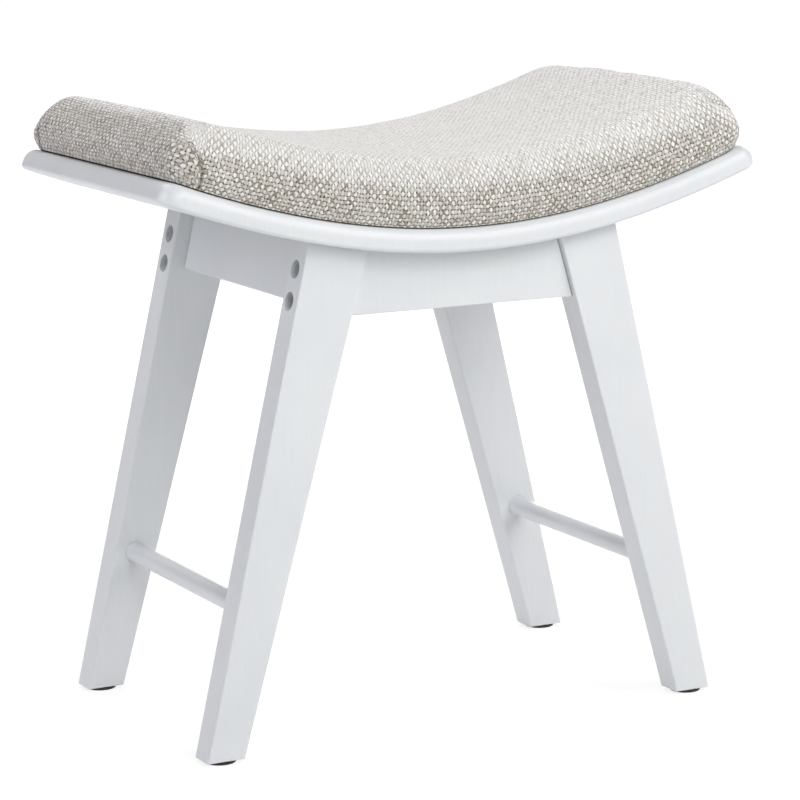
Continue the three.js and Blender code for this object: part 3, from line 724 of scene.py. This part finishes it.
def board_holes():
    """Counterbores for the cushion's screws, and blind holes for the screws from the aprons."""
    below = -seat_thickness
    bore_radius, bore_depth = cushion_bore
    place_along, place_across = cushion_screw_place
    parts = []
    for along in (-place_along, place_along):
        for across in (-place_across, place_across):
            parts.append(drill(along, across, below, bore_depth - seat_thickness / 2, bore_radius))
    for name in nodes:
        if name.startswith("seat_screw"):
            low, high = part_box(name)
            middle = (low + high) / 2
            top = seat_screw_grip - seat_thickness / 2
            parts.append(drill(middle.x, middle.y, below, top, seat_screw_radius))
    return gather(parts)


def board_edge():
    """The board's edge as (inset, level), from below: a small round, a short flat and a large round."""
    reach, drop = upper_round
    section = []
    for i in range(edge_steps + 1):
        angle = math.pi / 2 * i / edge_steps
        inset = lower_round * (1 - math.sin(angle))
        rise = lower_round * (1 - math.cos(angle))
        section.append((inset, rise - seat_thickness / 2))
    for i in range(edge_steps + 1):
        angle = math.pi / 2 * i / edge_steps
        section.append((reach * (1 - math.cos(angle)), board_top - drop * (1 - math.sin(angle))))
    return section


def make_seat_board(material):
    rings = []
    for inset, level in board_edge():
        radius = seat_corner_radius - inset
        rings.append(seat_ring(seat_length / 2 - inset, seat_width / 2 - inset, radius, level, board_steps))
    board = new_piece("seat_board_bent", *loft(rings))
    holes = new_piece("board_holes", *board_holes())
    modify(board, "Screw holes", "BOOLEAN", operation="DIFFERENCE", solver="EXACT", object=holes)
    bake_modifiers(board)
    bpy.data.objects.remove(holes)
    modify(board, "Even shading", "WEIGHTED_NORMAL")
    finish_piece(board, material, "paint", "seat_board")


# Cushion

foot_half_length = seat_length / 2 - cushion_inset
foot_half_width = seat_width / 2 - cushion_inset
corner_length = foot_half_length - cushion_corner_radius  # from the middle to where a corner begins
corner_width = foot_half_width - cushion_corner_radius
flat_length = foot_half_length - shoulder_depth + cushion_swell
flat_width = foot_half_width - shoulder_depth + cushion_swell


def cushion_top(along, across, excess):
    """The level of the cushion's top: a shoulder level that varies, and a crown over it."""
    u = np.clip(np.abs(along) / foot_half_length, 0, 1)
    v = np.clip(np.abs(across) / foot_half_width, 0, 1)
    left = along < 0
    rise = np.where(left, *end_rises) * u**end_rise_power
    dome = middle_crown * (1 - u ** middle_crown_powers[0]) * (1 - v ** middle_crown_powers[1])
    end_dome = np.where(left, *end_crowns) * u**end_rise_power * (1 - v**2)
    return shoulder_level + excess + rise + dome + end_dome


def shoulder_section():
    """Shares of the way in and up along the shoulder, from the widest line to the top's edge."""
    angle = np.linspace(0, math.pi / 2, shoulder_steps + 1)
    return 1 - np.cos(angle) ** (2 / shoulder_power), np.sin(angle) ** (2 / shoulder_power)


def cushion_rings():
    """Rings from the skirt's edge up the swelling side, over the shoulder and in to a narrow ridge."""
    swell = cushion_swell + foam_excess
    rings = []

    def add(inset, level, radius=cushion_corner_radius, reach=1.0):
        half_width = foot_half_width - inset
        radius = min(radius, half_width)
        along, across = rounded_ring(foot_half_length - inset, half_width, radius, cushion_steps).T
        above = level(along, across) if callable(level) else level
        end_reach = np.where(along < 0, *end_reaches) * (np.abs(along) / foot_half_length) ** end_reach_power
        rings.append(on_saddle(along + np.sign(along) * reach * end_reach, across, above))

    add(skirt_inset, foot_level - skirt_drop, reach=0.0)
    for i in range(wall_steps):
        swelled = math.sin(math.pi / 2 * i / wall_steps)
        level = foot_level + (swell_level - foot_level) * i / wall_steps
        add(-swell * swelled, level, reach=swelled)
    for inwards, upwards in zip(*shoulder_section()):
        def level(along, across, upwards=upwards):
            return swell_level + (cushion_top(along, across, foam_excess) - swell_level) * upwards

        add(shoulder_depth * inwards - swell, level)
    start = shoulder_depth - swell
    for i in range(1, top_steps + 1):
        share = i / top_steps
        inset = start + (foot_half_width - top_ridge - start) * share
        radius = cushion_corner_radius + (top_ridge - cushion_corner_radius) * share
        add(inset, lambda along, across: cushion_top(along, across, foam_excess), radius)
    return rings


def inflate(piece, held):
    """Lets the cover swell over its pad, with the held points still, and caps how far each point moves."""
    start = points_of(piece.data)
    group = piece.vertex_groups.new(name="held")
    group.add([int(i) for i in np.flatnonzero(held)], 1.0, "REPLACE")
    cloth = piece.modifiers.new("Cloth", "CLOTH")
    with_settings(cloth.settings, vertex_group_mass="held", use_pressure=True, **cover_cloth)
    cloth.settings.effector_weights.gravity = 0
    with_settings(cloth.point_cache, frame_start=1, frame_end=simulation_frames)
    scene = bpy.context.scene
    for number in range(1, simulation_frames + 1):
        scene.frame_set(number)
    bake_modifiers(piece)
    piece.vertex_groups.clear()
    scene.frame_set(1)
    step = points_of(piece.data) - start
    length = np.linalg.norm(step, axis=1, keepdims=True)
    capped = step * np.minimum(1, swell_cap / np.maximum(length, tiny))
    set_points(piece.data, start + capped)


def add_lumps(mesh):
    """Moves the surface in and out a little in broad soft lumps, fading to none at the foot."""
    points, normals = points_of(mesh), normals_of(mesh)
    above = off_saddle(points)[2]
    fade = np.clip((above - foot_level) / (swell_level - foot_level), 0, 1)
    lumps = np.array([space_noise.noise(Vector(point) / lump_width) for point in points])
    set_points(mesh, points + normals * (lump_height * fade * lumps)[:, None])


def level_foot(mesh):
    """Cuts the cushion off level with its foot, with a sharp edge there, and brings the skirt up flat."""
    set_points(mesh, np.stack(off_saddle(points_of(mesh)), -1))
    work = bmesh.new()
    work.from_mesh(mesh)
    everything = [*work.verts, *work.edges, *work.faces]
    level = {"plane_co": (0, 0, foot_level), "plane_no": (0, 0, 1)}
    cut = bmesh.ops.bisect_plane(work, geom=everything, dist=cut_reach, **level)
    for part in cut["geom_cut"]:
        if isinstance(part, bmesh.types.BMEdge):
            part.smooth = False
    for vertex in work.verts:
        vertex.co.z = max(vertex.co.z, foot_level)
    work.to_mesh(mesh)
    work.free()
    along, across, above = points_of(mesh).T
    set_points(mesh, on_saddle(along, across, above))


# Corner seams


def seam_on_end(side_along, side_across):
    """Whether a corner's seam lies on the seat's end, and not on its long side."""
    return side_along * side_across < 0


def seam_offset(level):
    """How far round from its corner's middle a seam lies, at a level."""
    return seam_start - seam_lean_share * (level - foot_level) ** 2 / seam_height


def section_inset(level):
    """How far in from the foot's line the cushion's side lies, at a level."""
    inwards, upwards = shoulder_section()
    height = np.clip((level - swell_level) / (shoulder_level - swell_level), 0, 1)
    swelled = np.clip((level - foot_level) / (swell_level - foot_level), 0, 1)
    low = -cushion_swell * np.sin(math.pi / 2 * swelled)
    return low + shoulder_depth * np.interp(height, upwards, inwards)


def seam_line(side_along, side_across, surface):
    """Points up a corner's seam, laid on the surface."""
    line = []
    for level in np.linspace(foot_level, foot_level + seam_height, seam_samples):
        offset = seam_offset(level)
        if seam_on_end(side_along, side_across):
            offset = -offset
        inset = section_inset(level)
        radius = cushion_corner_radius - inset
        angle = math.pi / 4 + np.clip(offset / cushion_corner_radius, -math.pi / 4, math.pi / 4)
        spare = max(abs(offset) - math.pi / 4 * cushion_corner_radius, 0)
        along = corner_length + radius * math.cos(angle) - (spare if offset > 0 else 0)
        across = corner_width + radius * math.sin(angle) - (spare if offset < 0 else 0)
        guess = Vector(on_saddle(np.array(side_along * along), side_across * across, level))
        line.append(surface.find_nearest(guess)[0])
    return line


def seam_lines(mesh):
    surface = surface_of(mesh)
    return [seam_line(along, across, surface) for along in (-1, 1) for across in (-1, 1)]


def nearness(points, lines):
    """The distance from each point to the nearest point of the lines."""
    spots = [spot for line in lines for spot in line]
    tree = KDTree(len(spots))
    for i, spot in enumerate(spots):
        tree.insert(spot, i)
    tree.balance()
    return np.array([tree.find(point)[2] for point in points])


def refine_near(mesh, lines, reach):
    """Halves the mesh's spacing close to the lines."""
    near = nearness(points_of(mesh), lines) < reach
    work = bmesh.new()
    work.from_mesh(mesh)
    work.verts.ensure_lookup_table()
    edges = [edge for edge in work.edges if near[edge.verts[0].index] and near[edge.verts[1].index]]
    bmesh.ops.subdivide_edges(work, edges=edges, cuts=1, use_grid_fill=True, smooth=0)
    work.to_mesh(mesh)
    work.free()


def sink_seams(mesh, lines):
    """Draws the surface in along the lines, and writes how close each point is to one, for the painted
    shadow along the seams.
    """
    points, normals = points_of(mesh), normals_of(mesh)
    above = off_saddle(points)[2]
    fade = np.clip((foot_level + seam_height - above) / seam_fade, 0, 1)
    close = fade * np.exp(-((nearness(points, lines) / seam_width) ** 2))
    depth = seam_depth * close * (above > foot_level + foot_margin)
    set_points(mesh, points - normals * depth[:, None])
    mesh.attributes.new("seam", "FLOAT", "POINT").data.foreach_set("value", close.astype(np.float32))


def stitch(start, end, out):
    """Points and faces of one short thread that rises out of the cloth and dips back into it."""
    middle = (start + end) / 2
    along = (end - start).normalized()
    beside = along.cross(out).normalized()
    half = (end - start).length / 2
    points = []
    for i in range(stitch_rings):
        share = 2 * i / (stitch_rings - 1) - 1
        width = stitch_radius * (stitch_tip_share + (1 - stitch_tip_share) * math.sqrt(1 - share**2))
        centre = middle + along * half * share + out * stitch_radius * stitch_rise_share * (1 - 2 * share**2)
        for k in range(stitch_sides):
            angle = 2 * math.pi * k / stitch_sides
            points.append(centre + beside * width * math.cos(angle) + out * width * math.sin(angle))
    faces = [tuple(range(stitch_sides)), tuple(len(points) - 1 - k for k in range(stitch_sides))]
    faces += [(a, d, c, b) for a, b, c, d in wall(stitch_sides, stitch_rings)]
    return points, faces


def make_stitches(cushion, lines, material):
    """A row of short slanted threads up each corner seam."""
    surface = surface_of(cushion.data)
    parts = []
    for line in lines:
        travelled = stitch_pitch / 2
        length = 0.0
        for low, high in zip(line, line[1:]):
            length += (high - low).length
            if length < travelled:
                continue
            travelled += stitch_pitch
            spot, normal, _, _ = surface.find_nearest(high)
            turn = stitch_turn if len(parts) % 2 else -stitch_turn
            along = Matrix.Rotation(turn, 3, normal) @ (high - low).normalized()
            half = along * stitch_length / 2
            parts.append(stitch(spot - half, spot + half, normal))
    stitches = new_piece("corner_stitches", *gather(parts))
    finish_piece(stitches, material, "linen", "cushion_cover")


# Cloth coordinates


def section_lengths():
    """A measure that grows up the cushion's section, and the cloth's length from there to the top's edge."""
    inwards, upwards = shoulder_section()
    levels = swell_level + (shoulder_level - swell_level) * upwards
    insets = shoulder_depth * inwards - cushion_swell
    levels = np.concatenate([[foot_level], levels])
    insets = np.concatenate([[0.0], insets])
    steps = np.hypot(np.diff(levels), np.diff(insets))
    lengths = np.concatenate([np.cumsum(steps[::-1])[::-1], [0.0]])
    height = (levels - foot_level) / (shoulder_level - foot_level)
    return height * (1 + (insets + cushion_swell) / shoulder_depth), lengths


def cloth_down(along, across, above):
    """The cloth's length from the top's edge down to each place."""
    past = np.stack([np.abs(along) - corner_length, np.abs(across) - corner_width])
    outside = np.hypot(*np.maximum(past, 0)) + np.minimum(past.max(axis=0), 0) - cushion_corner_radius
    inwards = np.clip((cushion_swell - outside) / shoulder_depth, 0, 1)
    height = (above - foot_level) / (cushion_top(along, across, 0) - foot_level)
    measures, lengths = section_lengths()
    return np.interp(np.clip(height, 0, 1) * (1 + inwards), measures, lengths)


def face_corners(mesh):
    """Each face corner's vertex and face."""
    sizes = np.zeros(len(mesh.polygons), int)
    mesh.polygons.foreach_get("loop_total", sizes)
    vertex = np.zeros(len(mesh.loops), int)
    mesh.loops.foreach_get("vertex_index", vertex)
    return vertex, np.repeat(np.arange(len(sizes)), sizes)


def on_end_panel(along, across, above):
    """Whether a place's cloth hangs from the seat's end. At a corner, the seam parts it from the side's."""
    past_end = np.abs(along) - corner_length
    past_side = np.abs(across) - corner_width
    nearer_end = past_end > past_side
    round_corner = np.arctan2(np.maximum(past_side, 0), np.maximum(past_end, tiny)) - math.pi / 4
    half_arc = math.pi / 4 * cushion_corner_radius
    offset = cushion_corner_radius * round_corner
    offset = np.where(past_end < 0, half_arc - past_end, offset)
    offset = np.where(past_side < 0, past_side - half_arc, offset)
    seam_at = seam_offset(above)
    with_end = np.where(seam_on_end(along, across), offset < -seam_at, offset < seam_at)
    below_top = above < shoulder_level - seam_top_gap
    near_seam = (past_end > -seam_reach) & (past_side > -seam_reach) & below_top
    return np.where(near_seam, with_end, nearer_end)


def write_cloth(mesh):
    """Writes each face corner's place on the cloth, along and across it, and how far it faces up."""
    points = points_of(mesh)
    along, across, above = off_saddle(points)
    down = cloth_down(along, across, above)
    rising = np.einsum("ij,ij->i", normals_of(mesh), saddle_up(along))
    facing = np.arcsin(np.clip(rising, 0, 1)) / (math.pi / 2)
    past_end = np.maximum(np.abs(along) - corner_length, 0)
    past_side = np.maximum(np.abs(across) - corner_width, 0)
    turned = np.arctan2(past_side, np.maximum(past_end, tiny))
    at_corner = (past_end > 0) & (past_side > 0)
    # Corners count as facing further up: partly stretch, partly a painted highlight from the lit top colours
    facing = np.clip(facing + corner_stretch_and_highlight * np.sin(2 * turned) * at_corner, 0, 1)
    arc = cushion_corner_radius + cushion_swell
    long_place = np.where(at_corner, corner_length + arc * (math.pi / 2 - turned), np.abs(along))
    cross_place = np.where(at_corner, corner_width + arc * turned, np.abs(across))
    side_u = np.sign(along) * long_place
    side_v = np.sign(across) * (np.minimum(np.abs(across), flat_width) + down)
    end_u = np.sign(along) * (np.minimum(np.abs(along), flat_length) + down)
    end_v = np.sign(across) * cross_place
    vertex, face = face_corners(mesh)
    on_end = on_end_panel(*off_saddle(vectors_of(mesh.polygons, "center")))[face]
    u = np.where(on_end, end_u[vertex], side_u[vertex])
    v = np.where(on_end, end_v[vertex], side_v[vertex])
    attribute = mesh.attributes.new("cloth", "FLOAT_VECTOR", "CORNER")
    # The ends count as facing less far up, so they show more dark yarn and take more painted side shade
    seen_facing = np.where(on_end, facing[vertex] ** end_facing_power, facing[vertex])
    attribute.data.foreach_set("vector", np.stack([u, v, seen_facing], -1).astype(np.float32).ravel())


def make_cushion(material, thread):
    cushion = new_piece("cushion_woven", *loft(cushion_rings()))
    modify(cushion, "Even mesh", "REMESH", mode="VOXEL", voxel_size=voxel)
    bake_modifiers(cushion)
    inflate(cushion, off_saddle(points_of(cushion.data))[2] < foot_level + held_height)
    modify(cushion, "Finer mesh", "SUBSURF", levels=1, render_levels=1)
    bake_modifiers(cushion)
    mesh = cushion.data
    add_lumps(mesh)
    level_foot(mesh)
    lines = seam_lines(mesh)
    refine_near(mesh, lines, seam_refining)
    refine_near(mesh, lines, seam_refining / 2)
    sink_seams(mesh, lines)
    write_cloth(mesh)
    shade_smooth(mesh)
    finish_piece(cushion, material, "linen", "cushion_cover", "cushion_foam")
    make_stitches(cushion, lines, thread)


def make_lining(material):
    half_length = foot_half_length - lining_inset
    half_width = foot_half_width - lining_inset
    rings = []
    for level in lining_levels:
        rings.append(seat_ring(half_length, half_width, cushion_corner_radius, level, board_steps))
    lining = new_piece("cushion_dust_cloth", *loft(rings))
    finish_piece(lining, material, "lining", "cushion_lining")


# Stretchers


def make_stretcher(side, material):
    """A painted rod. Where it enters a leg, the paint makes a small fillet."""
    low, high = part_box("stretcher_" + side)
    leg_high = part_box("leg_front_" + side)[1]
    face = -leg_high.y  # of the back leg, which mirrors the front one
    middle = (low + high) / 2
    radius = (high.z - low.z) / 2
    half = (high.y - low.y) / 2
    profile = [(radius - rod_chamfer, half), (radius, half - rod_chamfer), (radius, face + rod_chamfer)]
    for i in range(fillet_steps + 1):
        angle = math.pi / 2 * i / fillet_steps
        rise = paint_fillet * (1 - math.sin(angle))
        profile.append((radius + rise, face - paint_fillet * (1 - math.cos(angle))))
    profile += [(r, -y) for r, y in reversed(profile)]
    angles = np.linspace(0, 2 * math.pi, rod_steps, endpoint=False)
    circle = np.stack([np.cos(angles), np.zeros(rod_steps), np.sin(angles)], -1)
    rings = [ring_radius * circle + np.array(middle) + (0, y, 0) for ring_radius, y in profile]
    last = (len(rings) - 1) * rod_steps
    faces = [tuple(range(rod_steps))[::-1], tuple(range(last, last + rod_steps))]
    rod = new_piece("stretcher_rod_" + side, np.concatenate(rings), faces + wall(rod_steps, len(rings)))
    modify(rod, "Even shading", "WEIGHTED_NORMAL")
    finish_piece(rod, material, "paint", "stretcher_" + side)


# Studio


def make_floor():
    """A pale floor. Seen directly or in a reflection it is nearly white, and keeps a faint shadow."""
    corners = [(x * floor_half, y * floor_half, 0) for x, y in ((-1, -1), (1, -1), (1, 1), (-1, 1))]
    floor = new_piece("floor", corners, [(0, 1, 2, 3)])
    material, tree = new_material("floor")
    shader = tree.nodes["Principled BSDF"]
    connect(tree, shader.inputs["Base Color"], [floor_albedo] * 3)
    shader.inputs["Roughness"].default_value = 0.9
    pale = node(tree, "BsdfDiffuse", {"Color": [floor_seen_albedo] * 3})[0]
    distance = node(tree, "VectorMath", {0: object_place(tree)}, operation="LENGTH")["Value"]
    glow = node(tree, "Emission", {"Strength": remap(tree, distance, *floor_glow_reach, *floor_glow)})[0]
    seen = node(tree, "AddShader", {0: pale, 1: glow})[0]
    path = node(tree, "LightPath")
    direct = maths(tree, "MAXIMUM", path["Is Camera Ray"], path["Is Glossy Ray"])
    chosen = node(tree, "MixShader", {0: direct, 1: shader.outputs[0], 2: seen})[0]
    connect(tree, tree.nodes["Material Output"].inputs[0], chosen)
    floor.data.materials.append(material)


def make_world():
    world = bpy.data.worlds.new("studio")
    world.use_nodes = True
    tree = world.node_tree
    tree.nodes.clear()
    seen = node(tree, "Background", {"Color": (1, 1, 1)})[0]
    soft = node(tree, "Background", {"Color": sky_colour, "Strength": sky_strength})[0]
    direct = node(tree, "LightPath")["Is Camera Ray"]
    chosen = node(tree, "MixShader", {0: direct, 1: soft, 2: seen})[0]
    node(tree, "OutputWorld", {0: chosen})
    bpy.context.scene.world = world


def from_front(azimuth, elevation):
    """The direction this far round from straight in front, and this far up."""
    flat = math.cos(elevation)
    return Vector((math.sin(azimuth) * flat, -math.cos(azimuth) * flat, math.sin(elevation)))


def make_lamp(name, azimuth, elevation, power, colour):
    lamp = bpy.data.lights.new(name, "AREA")
    with_settings(lamp, shape="SQUARE", size=lamp_size, energy=power, color=colour)
    back = from_front(math.radians(azimuth), math.radians(elevation))
    thing = bpy.data.objects.new(name, lamp)
    thing.location = lamp_aim + back * lamp_distance
    thing.rotation_euler = back.to_track_quat("Z", "Y").to_euler()
    thing.visible_camera = False
    bpy.context.scene.collection.objects.link(thing)


def make_camera():
    back = from_front(camera_azimuth, camera_elevation)
    level_right = (-back).cross(Vector((0, 0, 1))).normalized()
    level_up = level_right.cross(-back)
    right = math.cos(camera_roll) * level_right + math.sin(camera_roll) * level_up
    up = math.cos(camera_roll) * level_up - math.sin(camera_roll) * level_right
    target = Vector((0, 0, camera_target_height)) + camera_target_right * right + camera_target_up * up
    data = bpy.data.cameras.new("camera")
    data.sensor_width = sensor_width * millimetres
    data.lens = sensor_width * millimetres * focal_share
    camera = bpy.data.objects.new("camera", data)
    turn = Matrix((right, up, back)).transposed().to_4x4()
    camera.matrix_world = Matrix.Translation(target + back * camera_distance) @ turn
    bpy.context.scene.collection.objects.link(camera)
    bpy.context.scene.camera = camera


def make_studio():
    make_floor()
    make_world()
    for name, settings in lamps.items():
        make_lamp(name, *settings)
    bpy.context.scene.view_settings.view_transform = "Standard"


def make_stool():
    slanting = {}
    for side, lean in (("left", -leg_lean), ("right", leg_lean)):
        slanting[side] = paint("paint_" + side, (0, lean, 0))
    lengthwise = paint("paint_lengthwise", (0, math.pi / 2, 0))
    crosswise = paint("paint_crosswise", (math.pi / 2, 0, 0))
    linen = woven_linen()
    lining = black_cloth()
    nylon = black_nylon()
    zinc = zinc_steel()
    thread = thread_brown()
    beech = raw_wood("beech", beech_shades, (0, 0, math.pi / 2))
    plywood = raw_wood("plywood", plywood_shades, (0, 0, 0))
    steel_kinds = ("bolt", "washer", "barrel_nut", "seat_screw", "cushion_screw")
    fasteners = {"dowel": beech, "glide": nylon, **dict.fromkeys(steel_kinds, zinc)}
    for name in nodes:
        side = "left" if "left" in name else "right"
        kind = next((word for word in fasteners if name.startswith(word)), None)
        if kind:
            dress(name, fasteners[kind], fastener_edge)
        elif name.startswith("leg_"):
            dress(name, slanting[side])
        elif name in ("apron_front", "apron_back"):
            dress(name, lengthwise)
        elif name in ("apron_left", "apron_right"):
            dress(name, crosswise)
    dress("cushion_panel", plywood, panel_edge)
    make_seat_board(lengthwise)
    make_cushion(linen, thread)
    make_lining(lining)
    for side in ("left", "right"):
        make_stretcher(side, crosswise)


make_stool()
make_studio()
make_camera()
